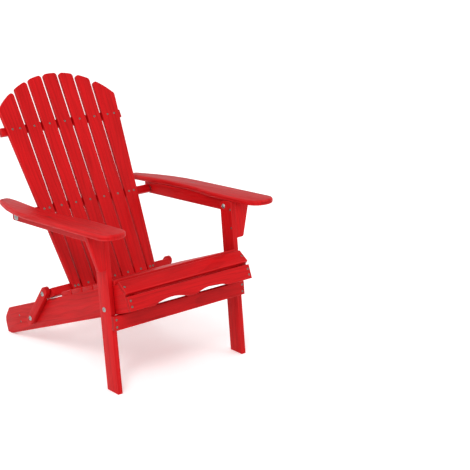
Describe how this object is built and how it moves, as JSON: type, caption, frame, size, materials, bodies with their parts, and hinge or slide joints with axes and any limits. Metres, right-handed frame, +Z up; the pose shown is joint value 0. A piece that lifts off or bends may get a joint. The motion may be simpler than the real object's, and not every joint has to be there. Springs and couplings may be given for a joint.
{
  "type": "adirondack chair",
  "caption": "Folding slatted garden chair with a sloping seat, fanned round-topped back, broad flat arms, and front legs and rear links that turn on bolts.",
  "frame": {"origin": "middle of the chair's footprint box, on the ground that the feet stand on", "axes": "+Z up, -Y the way the seat faces, +X towards the sitter's left"},
  "size_m": [0.7322, 0.876, 0.9405],
  "materials": {
    "rail_wood": "softwood under a satin opaque stain",
    "seat_wood": "softwood under a satin opaque stain",
    "cross_wood": "softwood under a satin opaque stain",
    "screw_steel": "dull zinc-plated steel",
    "bolt_zinc": "bright zinc-plated steel",
    "leg_wood": "softwood under a satin opaque stain",
    "bracket_wood": "softwood under a satin opaque stain",
    "arm_wood": "softwood under a satin opaque stain",
    "link_wood": "softwood under a satin opaque stain",
    "back_wood": "softwood under a satin opaque stain",
    "bar_wood": "softwood under a satin opaque stain"
  },
  "bodies": {
    "seat_frame": {"rail_left": "rail_wood", "rail_right": "rail_wood", "seat_slat_1": "seat_wood", "seat_slat_2": "seat_wood", "seat_slat_3": "seat_wood", "seat_slat_4": "seat_wood", "seat_slat_5": "seat_wood", "nose_slat": "seat_wood", "front_apron": "cross_wood", "rear_stretcher": "cross_wood", "seat_screws": "screw_steel", "link_bolts": "bolt_zinc", "link_bolt_nuts": "bolt_zinc"},
    "front_legs": {"leg_left": "leg_wood", "leg_right": "leg_wood", "front_stretcher": "cross_wood", "arm_bracket_left": "bracket_wood", "arm_bracket_right": "bracket_wood", "leg_screws": "screw_steel", "leg_bolts": "bolt_zinc", "leg_bolt_nuts": "bolt_zinc", "arm_bolts": "bolt_zinc", "arm_bolt_nuts": "bolt_zinc"},
    "arm_left": {"arm_board_left": "arm_wood", "arm_rail_left": "arm_wood", "arm_screws_left": "screw_steel"},
    "arm_right": {"arm_board_right": "arm_wood", "arm_rail_right": "arm_wood", "arm_screws_right": "screw_steel"},
    "link_left": {"link_left": "link_wood"},
    "link_right": {"link_right": "link_wood"},
    "back": {"back_slat_1": "back_wood", "back_slat_2": "back_wood", "back_slat_3": "back_wood", "back_slat_4": "back_wood", "back_slat_5": "back_wood", "back_slat_6": "back_wood", "back_slat_7": "back_wood", "lower_back_bar": "bar_wood", "middle_back_bar": "bar_wood", "upper_back_bar": "bar_wood", "back_screws": "screw_steel", "back_link_bolts": "bolt_zinc", "back_arm_bolts": "bolt_zinc", "back_bolt_washers": "bolt_zinc"}
  },
  "joints": [
    {"name": "leg_fold", "type": "hinge", "parent": "seat_frame", "child": "front_legs", "pos_m": [0, -0.29657, 0.28314], "axis": [1, 0, 0], "range_deg": [0, 76]},
    {"name": "arm_left_hinge", "type": "hinge", "parent": "front_legs", "child": "arm_left", "pos_m": [0.291, -0.2617, 0.5301], "axis": [1, 0, 0], "range_deg": [-61.55, 0]},
    {"name": "arm_right_hinge", "type": "hinge", "parent": "front_legs", "child": "arm_right", "pos_m": [-0.291, -0.2617, 0.5301], "axis": [1, 0, 0], "range_deg": [-61.55, 0]},
    {"name": "link_left_hinge", "type": "hinge", "parent": "seat_frame", "child": "link_left", "pos_m": [0.2705, 0.1768, 0.11508], "axis": [1, 0, 0], "range_deg": [-23.05, 0]},
    {"name": "link_right_hinge", "type": "hinge", "parent": "seat_frame", "child": "link_right", "pos_m": [-0.2705, 0.1768, 0.11508], "axis": [1, 0, 0], "range_deg": [-23.05, 0]},
    {"name": "back_hinge", "type": "hinge", "parent": "link_left", "child": "back", "pos_m": [0, 0.08704, 0.2322], "axis": [1, 0, 0], "range_deg": [0, 93.05]}
  ],
  "couplings": [
    {"joint": "arm_left_hinge", "follows": "leg_fold", "ratio": -0.8092},
    {"joint": "arm_right_hinge", "follows": "leg_fold", "ratio": -0.8092},
    {"joint": "link_left_hinge", "follows": "leg_fold", "ratio": -0.3026},
    {"joint": "link_right_hinge", "follows": "leg_fold", "ratio": -0.3026},
    {"joint": "back_hinge", "follows": "leg_fold", "ratio": 1.2237}
  ]
}
